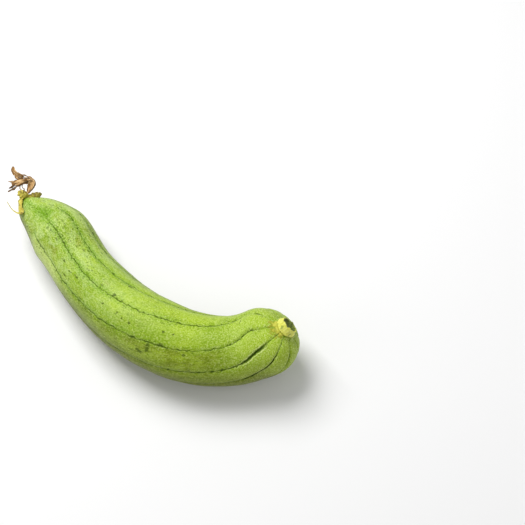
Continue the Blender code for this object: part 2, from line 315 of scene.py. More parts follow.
start_alone()
bpy.ops.mesh.primitive_circle_add(vertices=LINES * len(COLUMNS), radius=RADIUS_MM[0][1] * MM)
fruit = bpy.context.object
fruit.name = "gourd_skin"
columns = []
for line in range(LINES):
    here = LINE_ANGLES_DEG[line]
    after = LINE_ANGLES_DEG[line + 1] if line + 1 < LINES else LINE_ANGLES_DEG[0] + 360
    columns += [here + (after - here) * share + LINE_TURN_DEG[0][1] for share in COLUMNS]
for point, angle in zip(fruit.data.vertices, columns):
    point.co = around(0, RADIUS_MM[0][1], angle)
bpy.ops.object.mode_set(mode="EDIT")
bpy.ops.mesh.select_all(action="SELECT")
extrude_along(stations, LINE_TURN_DEG)
for end in (0, LENGTH_MM):
    close_end(fruit, end)
recalculate(fruit)
print("fruit in rough:", len(fruit.data.vertices), "points")

# %% [markdown]
# Now the furrows. A vertex group says how strongly a point belongs to a furrow or to the crown between two,
# and a Displace modifier pushes the points by it. The same is done for the raised lips beside each furrow,
# which are highest where the fruit narrows to its stalk.

# %% Furrows, lips and crowned lobes
FURROW_DEPTH_MM = ((0, 0.1), (20, 0.5), (215, 0.7), (240, 1.6), (262, 1.9), (273, 0.5))
CROWN_HEIGHT_MM = ((0, 0.1), (20, 0.5), (215, 0.55), (250, 1.1), (273, 0.2))
LIP_HEIGHT_MM = ((0, 0.05), (200, 0.1), (235, 0.45), (262, 0.6), (273, 0.1))
SAME_COLUMN = 0.02


def phase_of(points_mm):
    """Where points lie among the lines: 3.5 is halfway between the fourth line and the fifth."""
    angles = np.degrees(np.arctan2(points_mm[:, 1], points_mm[:, 2]))
    first = LINE_ANGLES_DEG[0]
    unwound = (angles - read_many(LINE_TURN_DEG, points_mm[:, 0]) - first) % 360 + first
    return np.interp(unwound, (*LINE_ANGLES_DEG, first + 360), range(LINES + 1)) % LINES


def add_group(piece, name, weights):
    """A vertex group with a weight for every point."""
    group = piece.vertex_groups.new(name=name)
    for index, weight in enumerate(weights):
        if weight > 0.001:
            group.add([index], float(weight), "REPLACE")


points = points_of(fruit)
share = phase_of(points) % 1
from_line = np.minimum(share, 1 - share)
for name, table, wanted in (
    ("furrow", FURROW_DEPTH_MM, from_line < SAME_COLUMN),
    ("lip", LIP_HEIGHT_MM, abs(from_line - LINE_SHOULDER) < SAME_COLUMN),
    ("crown", CROWN_HEIGHT_MM, np.ones(len(points), bool)),
):
    most = max(height for _, height in table)
    weights = read_many(table, points[:, 0]) / most * wanted
    if name == "crown":
        weights = weights * np.sin(math.pi * share)
    add_group(fruit, name, weights)
    push(fruit, -most if name == "furrow" else most, group=name)
subdivide(fruit, 2)
print("fruit after rounding:", len(fruit.data.vertices), "points")

# %% [markdown]
# A grown fruit is never quite round. Two cloud patterns push the skin in and out: a broad one for the slow
# swellings that a hand feels, and a fine one for the small dents.

# %% Swellings and dents
before = points_of(fruit)
push(fruit, 1.3, cloud_mm=38)
push(fruit, 0.22, cloud_mm=7, seed=1)
moved = np.linalg.norm(points_of(fruit) - before, axis=1)
print("skin moved by up to", round(float(moved.max()), 2), "mm")

# %% [markdown]
# The skin's pattern has to follow the fruit when it bends, so the coordinates of the straight fruit are kept
# before bending. One attribute holds the place on the fruit with its lines unwound, so that specks can run
# along the lines. A UV map holds the place across the lines and along them, and draws the lines themselves. A
# third attribute holds the distance between two lines, which turns the map's shares into millimetres.

# %% Keep the straight coordinates for the skin
BODY_LINE_MM = (0.5, 0.5, 0.45, 0.4, 0.4, 0.4, 0.4, 0.45, 0.45, 0.5)
STEM_LINE_MM = (0.35, 0.3, 0.4, 0.6, 0.5, 0.5, 0.4, 0.8, 1.35, 0.42)
STEM_LINES_MM = (212, 242)


def keep_attribute(piece, name, values):
    """Store a number or a vector at every point."""
    kind = "FLOAT_VECTOR" if np.ndim(values) == 2 else "FLOAT"
    attribute = piece.data.attributes.new(name, kind, "POINT")
    attribute.data.foreach_set("value" if kind == "FLOAT" else "vector", np.ravel(values).astype(np.float32))


def read_all(collection, name):
    """One whole number from every corner or face."""
    values = np.empty(len(collection), np.int32)
    collection.foreach_get(name, values)
    return values


def fill_map(layer, first, second):
    """Fill a UV map with two values for every corner."""
    layer.data.foreach_set("uv", np.stack([first, second], 1).ravel().astype(np.float32))


points = points_of(fruit)
phase = phase_of(points)
radius = np.hypot(points[:, 1], points[:, 2])
turn = 2 * math.pi * phase / LINES
keep_attribute(fruit, "unwound", np.stack([points[:, 0], radius * np.sin(turn), radius * np.cos(turn)], 1))
keep_attribute(fruit, "line_gap", 2 * math.pi * radius / LINES)
body_width, stem_width = (
    np.interp(phase, range(LINES + 1), (*widths, widths[0])) for widths in (BODY_LINE_MM, STEM_LINE_MM)
)
to_stem = np.interp(points[:, 0], STEM_LINES_MM, (0, 1))
keep_attribute(fruit, "line_width", body_width * (1 - to_stem) + stem_width * to_stem)
keep_attribute(fruit, "upward", points[:, 2] / np.maximum(radius, 0.01))

corners = read_all(fruit.data.loops, "vertex_index")
starts = read_all(fruit.data.polygons, "loop_start")
first = np.repeat(phase[corners[starts]], read_all(fruit.data.polygons, "loop_total"))
first = np.where(first > LINES - 0.5, first - LINES, first)
across = first + (phase[corners] - first + LINES / 2) % LINES - LINES / 2
fill_map(fruit.data.uv_layers.new(name="skin"), across / LINES, points[corners, 0] / LENGTH_MM)
print("lines from", round(float(across.min()), 2), "to", round(float(across.max()), 2))

# %% [markdown]
# The soft skin is pressed flat where the fruit lies. After bending, every point under the table's top is
# scaled to it, which is what the table does to the real one.

# %% Bend the fruit and press it on the table
bend(fruit)
bpy.ops.object.mode_set(mode="EDIT")
bpy.ops.mesh.select_mode(type="VERT")
pick(fruit, lambda co: co.z < 0)
bpy.ops.transform.resize(value=(1, 1, 0), center_override=(0, 0, 0))
bpy.ops.object.mode_set(mode="OBJECT")
bpy.ops.object.shade_smooth()
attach(fruit, "root")
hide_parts("gourd")
print("fruit:", len(fruit.data.polygons), "faces")

# %% [markdown]
# Materials are built from nodes. A few short functions keep that readable: one adds a node and fills in its
# inputs, others do sums, blends and soft steps. Each finds its node tree from the sockets that it is given. A
# node that isn't named here could be added by hand in the Shader Editor in the same way.

# %% Small helpers for materials


def fill(socket, value):
    """Link a socket to another, or give it a number, a vector or a colour."""
    if isinstance(value, bpy.types.NodeSocket):
        socket.id_data.links.new(value, socket)
    else:
        socket.default_value = value


def put(tree, kind, inputs=(), **settings):
    """Add a node, set it up, and give its inputs their numbers, colours or links."""
    node = tree.nodes.new("ShaderNode" + kind)
    for name, value in settings.items():
        setattr(node, name, value)
    for key, value in dict(inputs).items():
        fill(node.inputs[key], value)
    return node


def tree_of(*values):
    """The node tree of the first socket among some values."""
    return next(value.id_data for value in values if isinstance(value, bpy.types.NodeSocket))


def calc(operation, *values):
    """A sum of one, two or three numbers."""
    return put(tree_of(*values), "Math", enumerate(values), operation=operation).outputs[0]


def times(*values):
    """Numbers multiplied with each other."""
    return reduce(lambda so_far, value: calc("MULTIPLY", so_far, value), values)


def times_plus(value, factor, added):
    """A number multiplied by one and added to another."""
    return calc("MULTIPLY_ADD", value, factor, added)


def largest(*values):
    """The largest of some numbers."""
    return reduce(lambda so_far, value: calc("MAXIMUM", so_far, value), values)


def flipped(mask):
    """One where a mask is zero, and zero where it is one."""
    return calc("SUBTRACT", 1.0, mask)


def rise(value, low, high):
    """Zero below one value, one above the other, and smooth between them."""
    inputs = {"Value": value, "From Min": low, "From Max": high}
    return put(tree_of(value), "MapRange", inputs, interpolation_type="SMOOTHSTEP").outputs[0]


def fall(value, low, high):
    """One below one value, zero above the other, and smooth between them."""
    return flipped(rise(value, low, high))


def between(value, low, full, still_full, high):
    """A mask that rises, stays at one for a while, and falls again."""
    return times(rise(value, low, full), fall(value, still_full, high))


def vector_calc(operation, *values):
    """A vector sum: a difference, a length or the like."""
    node = put(tree_of(*values), "VectorMath", enumerate(values), operation=operation)
    return node.outputs["Value" if operation in ("DISTANCE", "DOT_PRODUCT", "LENGTH") else 0]


def scaled(vector, *factors):
    """A vector with its three parts multiplied."""
    return vector_calc("MULTIPLY", vector, factors)


def blend(mask, under, over, mode="MIX"):
    """Two colours mixed by a mask."""
    node = put(tree_of(mask, under, over), "Mix", {0: mask}, data_type="RGBA", blend_type=mode)
    for key, colour in ((6, under), (7, over)):
        fill(node.inputs[key], (*colour, 1) if isinstance(colour, tuple) else colour)
    return node.outputs[2]


def noise(vector, scale, detail=2.0, roughness=0.5):
    """A noise pattern around a half."""
    inputs = {"Vector": vector, "Scale": scale, "Detail": detail, "Roughness": roughness}
    return put(tree_of(vector), "TexNoise", inputs).outputs[0]


def attribute(tree, name, output="Fac"):
    """A value that was kept at every point of the piece."""
    return put(tree, "Attribute", attribute_name=name).outputs[output]


def new_material(piece, name, roughness):
    """Give a piece an empty Principled material; returns its tree and its shader."""
    material = bpy.data.materials.new(name)
    material.use_nodes = True
    shader = material.node_tree.nodes["Principled BSDF"]
    shader.inputs["Roughness"].default_value = roughness
    piece.data.materials.clear()
    piece.data.materials.append(material)
    return material.node_tree, shader


def finish(shader, colour, height, strength, depth_mm=0.3):
    """Give a shader its colour, and bumps from a pattern of heights."""
    bump = put(shader.id_data, "Bump", {"Strength": strength, "Distance": depth_mm * MM, "Height": height})
    fill(shader.inputs["Base Color"], colour)
    fill(shader.inputs["Normal"], bump.outputs[0])


def new_group(name, vectors, numbers, output):
    """An empty node group with one output; returns it, its input sockets by name and its output socket."""
    group = bpy.data.node_groups.new(name, "ShaderNodeTree")
    for label in vectors:
        group.interface.new_socket(label, in_out="INPUT", socket_type="NodeSocketVector")
    for label, value in numbers.items():
        socket = group.interface.new_socket(label, in_out="INPUT", socket_type="NodeSocketFloat")
        socket.default_value = value
    group.interface.new_socket(output, in_out="OUTPUT", socket_type="NodeSocketFloat")
    given = group.nodes.new("NodeGroupInput").outputs
    return group, given, group.nodes.new("NodeGroupOutput").inputs[output]


def use_group(group, vector, **values):
    """Place a node group in a material with its own values; returns its output."""
    node = tree_of(vector).nodes.new("ShaderNodeGroup")
    node.node_tree = group
    for key, value in {"Vector": vector, **values}.items():
        fill(node.inputs[key], value)
    return node.outputs[0]


# %% [markdown]
# Patterns that are used again and again are node groups. Specks are small spots of uneven size, missing in
# places: a Voronoi pattern gives one spot to each cell, and the cell's own random colour decides its size.
# Fibres are fine streaks: noise that is drawn out along the length. A single mark is a scratch or a spot at a
# chosen place: the distance to a short line, turned into a mask.

# %% Specks, fibres and single marks as node groups


def drawn_out(vector, length):
    """A vector divided along X, which draws a pattern out that way."""
    divide = put(tree_of(vector), "CombineXYZ", {0: calc("DIVIDE", 1.0, length), 1: 1.0, 2: 1.0})
    return vector_calc("MULTIPLY", vector, divide.outputs[0])


specks, given, mask = new_group(
    "specks", ["Vector"], {"Spacing": 1.0, "Length": 1.0, "Size": 0.3, "Share": 0.5}, "Mask")
cells = put(specks, "TexVoronoi", {
    "Vector": drawn_out(given["Vector"], given["Length"]),
    "Scale": calc("DIVIDE", 1.0, given["Spacing"]),
})
dice = put(specks, "SeparateColor", {0: cells.outputs["Color"]})
size = times(given["Size"], calc("ADD", 0.4, dice.outputs[1]))
spot = fall(cells.outputs["Distance"], times(size, 0.6), size)
there = calc("LESS_THAN", dice.outputs[0], given["Share"])
fill(mask, times(spot, there))

fibres, given, value = new_group("fibres", ["Vector"], {"Width": 1.0, "Length": 12.0}, "Value")
pattern = noise(drawn_out(given["Vector"], given["Length"]), calc("DIVIDE", 1.0, given["Width"]), 3.0, 0.6)
fill(value, rise(pattern, 0.3, 0.7))

single_mark, given, mask = new_group("single_mark", ["Vector", "Start", "End"], {"Width": 1.0}, "Mask")
line = vector_calc("SUBTRACT", given["End"], given["Start"])
from_start = vector_calc("SUBTRACT", given["Vector"], given["Start"])
share = calc("DIVIDE", vector_calc("DOT_PRODUCT", from_start, line), vector_calc("DOT_PRODUCT", line, line))
share = calc("MINIMUM", largest(share, 0.0), 1.0)
foot = put(single_mark, "VectorMath", {0: line, "Scale": share}, operation="SCALE").outputs[0]
away = calc("DIVIDE", vector_calc("DISTANCE", from_start, foot), given["Width"])
fill(mask, fall(away, 0.25, 0.75))
print("node groups:", specks.name, fibres.name, single_mark.name)

# %% [markdown]
# The skin is the heart of the likeness. On the real fruit it is light green with a faint bloom, mottled,
# sprinkled with dark dashes that run lengthwise, and crossed by ten dark, slightly jagged lines with pale
# borders, painted here partly as a highlight. It could be painted, but nodes stay sharp at any distance and
# need no file. The lines are drawn first. The map tells how far a point is from the nearest line; noise read
# along the line moves it to and fro and changes its width, which gives the jagged, broken look.

# %% Where the dark lines run
SWAY_MM = 2.4
JAG_MM = 3.0
SEED_STEP = 37.0

tree, shader = new_material(fruit, "gourd_skin", 0.46)
unwound = attribute(tree, "unwound", "Vector")
gap_mm = attribute(tree, "line_gap")
wide = attribute(tree, "line_width")
at = put(tree, "SeparateXYZ", {0: put(tree, "UVMap", uv_map="skin").outputs[0]}).outputs
across = times_plus(at[0], float(LINES), 0.5)
along_mm = times(at[1], float(LENGTH_MM))
number = calc("FLOOR", across)
offset_mm = times(calc("SUBTRACT", calc("FRACT", across), 0.5), gap_mm)


def along_line(seed, scale, detail=2.0):
    """Noise that changes along a line only, different for each line."""
    place = put(tree, "CombineXYZ", {0: along_mm, 1: times(number, SEED_STEP), 2: float(seed)})
    return noise(place.outputs[0], scale, detail)


def in_places(seed, scale, low, high):
    """A mask that comes and goes along a line."""
    return rise(along_line(seed, scale), low, high)


towards_stem = rise(along_mm, *map(float, STEM_LINES_MM))
sway = times(calc("SUBTRACT", along_line(0, 0.07, 3.0), 0.5), SWAY_MM)
jag = times(calc("SUBTRACT", along_line(40, 0.32, 3.0), 0.5), JAG_MM)
wander = times(calc("ADD", sway, jag), times_plus(towards_stem, -0.45, 1.0))
from_line = calc("ABSOLUTE", calc("SUBTRACT", offset_mm, wander))
print("the middle of each line found with", len(tree.nodes), "nodes")

# %% [markdown]
# A line swells into knots, thins out and breaks off in places. Towards the stem the lines are steadier, and
# the widest of them has pale lips, partly paler skin and partly a painted highlight. Beside each line runs a
# band for a fresher green, which also paints shade along the furrows, wide here, narrow there.

# %% How wide and how dark the lines are
LINE_ENDS_MM = (12.0, 45.0, 259.0, 267.5)

knots = in_places(160, 0.3, 0.6, 0.72)
uneven = times_plus(in_places(80, 0.22, 0.35, 0.7), 0.7, 0.4)
uneven = times_plus(knots, times_plus(towards_stem, -1.4, 1.8), uneven)
steady = times(towards_stem, 0.55)
uneven = times_plus(steady, 0.9, times(uneven, flipped(steady)))
width = times(uneven, wide)
edge = fall(calc("DIVIDE", from_line, width), 0.45, 1.5)
present = times(in_places(120, 0.12, 0.28, 0.45), times_plus(in_places(280, 0.4, 0.4, 0.6), 0.6, 0.4))
present = largest(present, knots, towards_stem)
ends = between(along_mm, *LINE_ENDS_MM)
line_mask = times(edge, ends, times_plus(present, 0.55, 0.45))

at_wide_line = times(towards_stem, rise(wide, 0.55, 1.1))
raised = times(in_places(200, 0.09, 0.45, 0.75), times_plus(towards_stem, -0.7, 0.8))
raised = times(largest(raised, at_wide_line), times_plus(in_places(320, 0.7, 0.42, 0.52), 0.8, 0.2))
# The pale lips: partly paler skin, partly a painted highlight along the raised lip.
lip_and_highlight = times(between(times_plus(width, -1.25, from_line), 0.0, 0.35, 0.5, 1.1), ends, raised)

# The band beside each line is partly a fresher green and partly painted shade along the furrow.
band_mm = times_plus(along_line(240, 0.05), 6.0, 0.5)
band = times(fall(calc("DIVIDE", from_line, band_mm), 0.1, 1.2), rise(along_mm, 20.0, 35.0))
print("lines drawn with", len(tree.nodes), "nodes")

# %% [markdown]
# The ground colour comes next, from broad to fine: a light green in two tones, grey-green towards the blossom
# end and on the crowns of the lobes there, mottling, brown scuffs and fine streaks.

# %% The ground colour of the skin
PALE_GREEN = (0.38, 0.53, 0.035)
MID_GREEN = (0.25, 0.39, 0.02)
GREY_GREEN = (0.40, 0.54, 0.19)
SCUFF_BROWN = (0.21, 0.23, 0.025)

stretched = scaled(unwound, 0.45, 1.0, 1.0)
broad = noise(stretched, 0.055, 3.0)
mottled = noise(stretched, 0.24, 5.0, 0.68)
streaks = use_group(fibres, unwound, Width=1.3, Length=22.0)
grey_end = fall(along_mm, 50.0, 190.0)
upper_lobe = fall(across, 1.6, 3.0)
crown = times(rise(calc("DIVIDE", from_line, gap_mm), 0.14, 0.42), grey_end)
crown = times(crown, times_plus(upper_lobe, -0.6, 1.0), rise(broad, 0.35, 0.6))
scuffed = rise(noise(scaled(unwound, 0.35, 1.0, 1.0), 0.16, 5.0, 0.7), 0.54, 0.66)

colour = blend(rise(broad, 0.38, 0.62), MID_GREEN, PALE_GREEN)
colour = blend(times(grey_end, rise(mottled, 0.42, 0.6)), colour, GREY_GREEN)
colour = blend(crown, colour, GREY_GREEN)
colour = blend(times(rise(mottled, 0.54, 0.66), 0.5), colour, MID_GREEN)
colour = blend(times(scuffed, times_plus(grey_end, 0.5, 0.1)), colour, SCUFF_BROWN)
colour = blend(times(streaks, 0.3), colour, PALE_GREEN)
print("ground colour mixed with", len(tree.nodes), "nodes")

# %% [markdown]
# Some places have a colour of their own: a fresher green beside the lines, which also stands in for shade
# along the furrows, and in a patch near the tip; a pale bloom on the near side by the blossom end, with a
# painted rim light on it; painted shade in olive low down and on the lower lobe, left out where the fruit is
# lit; and a paler green towards the stem. A fine grain of light and dark goes over everything.

# %% Places with a colour of their own, painted shade and a painted rim light
# The fresh green is also used as painted shade beside the furrows.
FRESH_AND_SHADE_GREEN = (0.15, 0.32, 0.0)
# OLIVE is the colour of the painted shade low down and on the lower lobe.
OLIVE = (0.12, 0.135, 0.0)
# The pale bloom colour, used also for a painted rim light on the near side.
BLOOM_AND_RIM_LIGHT = (0.60, 0.71, 0.24)
GRAIN_SHADE = (0.6, 0.7, 0.25)
FRESH_PATCH = (22.0, 1.5, 19.0)

top_line = calc("LESS_THAN", calc("ABSOLUTE", number), 0.5)
fresh_line = times(fall(from_line, 0.5, 4.5), fall(along_mm, 40.0, 100.0), top_line)
# Fresher green beside the lines, partly painted shade along the furrows.
fresh_and_shaded_band = times(band, times_plus(grey_end, 0.5, 0.27))
colour = blend(largest(fresh_and_shaded_band, times(fresh_line, 0.7)), colour, FRESH_AND_SHADE_GREEN)
# A pale strip on the near side by the blossom end: partly real bloom, partly a painted rim light.
side = times(between(across, 8.0, 8.7, 9.3, 9.9), between(along_mm, 22.0, 50.0, 62.0, 98.0))
colour = blend(times(side, times_plus(mottled, 0.8, 0.3)), colour, BLOOM_AND_RIM_LIGHT)
from_patch = scaled(vector_calc("SUBTRACT", unwound, FRESH_PATCH), 0.055, 0.1, 0.07)
patch = fall(times_plus(mottled, 1.6, vector_calc("LENGTH", from_patch)), 0.8, 1.75)
patch = times(patch, rise(along_mm, 7.0, 17.0))
colour = blend(patch, colour, FRESH_AND_SHADE_GREEN)

upward = attribute(tree, "upward")
# Painted shade: olive darkening where the skin faces down and on the lower lobe, lifted on the rim-lit side
# and on the dome.
painted_low_shade = fall(times_plus(mottled, 0.6, upward), 0.2, 1.15)
lower_lobe_shade = times(between(across, 6.5, 8.0, 9.4, 9.62), between(along_mm, 80.0, 110.0, 200.0, 232.0))
shade_mottling = times_plus(rise(mottled, 0.42, 0.6), 0.35, 0.3)
on_dome = rise(along_mm, 240.0, 260.0)
lit = largest(times(side, 0.8), times(on_dome, 0.7))
painted_low_shade = times(largest(painted_low_shade, times(lower_lobe_shade, shade_mottling)), flipped(lit))
near_stem = rise(along_mm, 195.0, 235.0)
colour = blend(times(near_stem, 0.45), colour, PALE_GREEN)
# The painted shade goes on in olive.
colour = blend(times(painted_low_shade, 0.9), colour, OLIVE)

fine = noise(scaled(unwound, 0.7, 1.0, 1.0), 1.1, 3.0, 0.75)
at_ends = largest(fall(along_mm, 25.0, 105.0), near_stem)
dusted = times(times_plus(at_ends, 0.34, 0.33), times_plus(largest(patch, painted_low_shade), -0.6, 1.0))
colour = blend(times(rise(fine, 0.5, 0.62), dusted), colour, BLOOM_AND_RIM_LIGHT)
colour = blend(times(fall(fine, 0.38, 0.52), 0.8), colour, GRAIN_SHADE, "MULTIPLY")
print("places coloured with", len(tree.nodes), "nodes")

# %% [markdown]
# Nothing makes a skin look grown like a few marks of its own. These are placed one by one, where the real
# fruit has them: short dashes along the upper lobe, some spots, and smudges low on the near side. Specks fill
# in between, most of them along the lines and low down. Each mark in the table is a short line on the unwound
# fruit, given by its two ends and its width in millimetres.

# %% Dashes, dots and single marks
DASH_GREEN = (0.06, 0.10, 0.004)
SHAKE_MM = 3.0
SINGLE_MARKS = (
    ((69.8, -5.9, 23.6), (73.2, -5.5, 23.9), 0.9), ((81.4, -6.8, 23.8), (84.6, -6.3, 24.0), 0.9),
    ((90.8, -5.8, 24.5), (92.2, -5.5, 24.7), 1.2), ((49.6, 1.7, 24.4), (51.8, 2.0, 24.5), 0.9),
    ((57.2, 13.5, 19.7), (57.7, 13.7, 19.5), 1.3), ((54.8, 22.2, 10.2), (56.4, 22.4, 9.6), 1.1),
    ((124.3, 1.9, 27.0), (125.0, 2.1, 27.0), 1.9), ((120.7, -7.3, 26.3), (122.8, -6.9, 26.3), 0.9),
    ((135.3, -7.5, 26.9), (135.7, -7.5, 26.9), 1.7), ((146.7, -9.8, 26.5), (147.2, -9.8, 26.5), 1.6),
    ((140.6, -9.1, 26.6), (140.9, -9.1, 26.6), 1.2), ((127.0, 14.5, 23.2), (129.6, 14.8, 23.0), 1.6),
    ((171.2, -8.5, 27.3), (171.8, -8.4, 27.3), 1.6), ((178.4, -9.0, 26.9), (178.9, -9.0, 26.9), 1.3),
    ((238.0, -6.5, 26.0), (240.6, -4.5, 26.4), 1.3), ((165.3, -17.8, 21.7), (165.8, -21.4, 19.0), 2.5),
    ((162.4, -22.7, 17.0), (159.4, -22.3, 17.8), 2.1), ((153.2, -16.4, 22.4), (154.4, -15.9, 22.7), 2.0),
    ((172.0, -16.2, 22.9), (174.2, -15.9, 23.1), 2.2), ((189.2, -19.2, 20.0), (189.7, -19.5, 19.7), 2.0),
)

dashes = use_group(specks, unwound, Spacing=2.6, Length=2.8, Size=0.27, Share=0.5)
pricks = use_group(specks, unwound, Spacing=1.35, Length=1.6, Size=0.4, Share=0.55)
dots = use_group(specks, unwound, Spacing=1.25, Length=1.0, Size=0.42, Share=0.5)
crowd = noise(scaled(unwound, 0.4, 1.0, 1.0), 0.1, 3.0)
where_dashed = times(rise(crowd, 0.4, 0.58), times_plus(grey_end, 0.6, 0.4))
where_pricked = largest(times(fall(from_line, 1.2, 5.0), 0.75), where_dashed, times(painted_low_shade, 0.7))
dark_marks = largest(times(dashes, where_dashed), times(pricks, where_pricked, 0.8))

shake = put(tree, "TexNoise", {"Vector": unwound, "Scale": 0.6, "Detail": 3.0}).outputs["Color"]
shake = scaled(vector_calc("SUBTRACT", shake, (0.5, 0.5, 0.5)), SHAKE_MM, SHAKE_MM, SHAKE_MM)
shaken = vector_calc("ADD", unwound, shake)
for start, end, mark_width in SINGLE_MARKS:
    dark_marks = largest(dark_marks, use_group(single_mark, shaken, Start=start, End=end, Width=mark_width))
dark_marks = times(dark_marks, rise(noise(unwound, 1.4), 0.24, 0.44))
pale_dots = times(dots, times_plus(grey_end, -0.25, 0.4), times_plus(painted_low_shade, -0.4, 1.0))
colour = blend(pale_dots, colour, BLOOM_AND_RIM_LIGHT)
colour = blend(times(dark_marks, 0.9), colour, DASH_GREEN)
print(len(SINGLE_MARKS), "single marks placed")

# %% [markdown]
# The lines go on top of all that, with their pale lips, partly paler skin and partly a painted highlight.
# Round the stub the skin is torn and yellow-brown.
# The same patterns, as heights, give the skin its fine relief: the lines are cut in, and the dots and lips
# stand up a little. The skin is a bit duller in the lines.

# %% Lines over the ground colour, and the relief
LINE_GREEN = (0.03, 0.065, 0.0)
# The pale lip colour also serves as a painted highlight.
LIP_PALE_HIGHLIGHT = (0.76, 0.84, 0.36)
STEM_YELLOW = (0.56, 0.54, 0.07)
STEM_BROWN = (0.26, 0.26, 0.015)

# Pale lips beside the lines, partly a painted highlight.
colour = blend(times(lip_and_highlight, times_plus(towards_stem, 0.5, 0.35)), colour, LIP_PALE_HIGHLIGHT)
colour = blend(times(line_mask, times_plus(towards_stem, 0.08, 0.88)), colour, LINE_GREEN)
torn = times_plus(noise(unwound, 0.42), 8.0, along_mm)
torn = times_plus(rise(upward, 0.45, 0.95), 3.5, torn)
torn_colour = blend(rise(torn, 277.0, 279.0), STEM_BROWN, STEM_YELLOW)
colour = blend(times(rise(torn, 276.3, 277.6), 0.85), colour, torn_colour)

relief = times_plus(fine, 0.25, times(streaks, 0.15))
for pattern, height in ((line_mask, -0.4), (dots, 0.12), (lip_and_highlight, 0.3)):
    relief = times_plus(pattern, height, relief)
finish(shader, colour, relief, 0.7, 0.35)
fill(shader.inputs["Roughness"], times_plus(line_mask, 0.3, times_plus(fine, 0.18, 0.36)))
shader.inputs["Specular IOR Level"].default_value = 0.22
shader.inputs["Specular Tint"].default_value = (0.9, 1.0, 0.6, 1.0)
print("skin material:", len(tree.nodes), "nodes")

# %% [markdown]
# The cut stub: a short tube of stalk, cut slantwise, with a ragged rim and a hollow. It is turned from a
# circle like the fruit, from the foot up the outside, over the rim and down into the hollow. The slant and
# the ragged rim are put in afterwards, by moving each point along the axis in proportion to its height.

# %% Model the stub
STUB_FOOT_MM = LENGTH_MM + 0.3
STUB_DRAFT_HEIGHT_MM = 10
STUB_PROFILE = ((8.7, 0), (8.5, 0.1), (7.8, 0.3), (7.3, 0.5), (7.1, 0.65), (7.0, 0.88), (6.9, 0.97), (6.6, 1),
                (6.25, 0.98), (6.0, 0.9), (5.7, 0.72), (5.2, 0.55), (3.8, 0.44), (2.0, 0.4))
STUB_HEIGHT_MM = 5.0
STUB_SLANT_MM = 2.4
STUB_TALL_SIDE_DEG = -35
STUB_COLUMNS = 64
RIM_RADIUS_MM = 6.4
RIM_REACH_MM = 2
RIM_TEETH = (5, 7, 9, 13)


def turn_form(name, stations_mm, columns):
    """A closed form turned about the axis, through stations of a place and a radius."""
    start_alone()
    bpy.ops.mesh.primitive_circle_add(vertices=columns, radius=stations_mm[0][1] * MM)
    piece = bpy.context.object
    piece.name = name
    for i, point in enumerate(piece.data.vertices):
        point.co = around(*stations_mm[0], 360 * i / columns)
    bpy.ops.object.mode_set(mode="EDIT")
    bpy.ops.mesh.select_all(action="SELECT")
    extrude_along(stations_mm)
    close_ring()
    pick(piece, lambda co: abs(co.x - stations_mm[0][0] * MM) < SAME_PLACE)
    close_ring()
    recalculate(piece)
    return piece


stub = turn_form("stub_of_stalk", [(STUB_FOOT_MM + STUB_DRAFT_HEIGHT_MM * share, radius)
                                   for radius, share in STUB_PROFILE], STUB_COLUMNS)
draw = random.Random(4)
teeth = [(draw.uniform(0.2, 0.4), count, draw.uniform(0, 360)) for count in RIM_TEETH]
ragged = []
for i in range(STUB_COLUMNS):
    angle = 360 * i / STUB_COLUMNS
    waves = sum(high * math.sin(math.radians(count * angle + start)) for high, count, start in teeth)
    ragged.append(waves + draw.uniform(-0.3, 0.3))
ribs = [draw.uniform(-0.15, 0.15) for _ in range(STUB_COLUMNS)]
for point in stub.data.vertices:
    share = (point.co.x / MM - STUB_FOOT_MM) / STUB_DRAFT_HEIGHT_MM
    angle = math.degrees(math.atan2(point.co.y, point.co.z)) % 360
    column = round(angle / 360 * STUB_COLUMNS) % STUB_COLUMNS
    slant = STUB_SLANT_MM * math.cos(math.radians(angle - STUB_TALL_SIDE_DEG))
    radius = math.hypot(point.co.y, point.co.z) / MM
    edge = ragged[column] * max(0, 1 - abs(radius - RIM_RADIUS_MM) / RIM_REACH_MM) * share
    radius += ribs[column] * min(1, radius / 5)
    point.co = around(STUB_FOOT_MM + share * (STUB_HEIGHT_MM + slant) + edge, radius, angle)
subdivide(stub, 1)
keep_attribute(stub, "straight", points_of(stub))
bend(stub)
bpy.ops.object.shade_smooth()
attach(stub, "root")
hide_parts("stem_stub")
print("stub:", len(stub.data.polygons), "faces")

# %% [markdown]
# Fresh from the knife the stub's rind is yellow, streaked with green. The hollow is painted dark: partly its
# greener tissue, partly painted shade. The distance from the axis tells the rind from the hollow. On the low
# side of the slant the painted shade comes up over the rim, where the far wall lies in shade.

# %% Finish the stub
RIND_YELLOW = (0.66, 0.67, 0.055)
RIND_PALE = (0.83, 0.84, 0.19)
RIND_GREEN = (0.26, 0.33, 0.03)
# The dark of the hollow is partly its tissue and partly painted shade.
HOLLOW_SHADE = (0.06, 0.09, 0.004)
HOLLOW_GREEN = (0.17, 0.24, 0.015)
TALL_SIDE = (0.0, -0.57, 0.82)

tree, shader = new_material(stub, "cut_stalk", 0.55)
straight = attribute(tree, "straight", "Vector")
rind_fibres = use_group(fibres, straight, Width=0.8, Length=6.0)
blotches = noise(straight, 0.28, 3.0)
from_axis = vector_calc("LENGTH", scaled(straight, 0.0, 1.0, 1.0))
hollow = fall(times_plus(blotches, 1.6, from_axis), 6.6, 7.3)
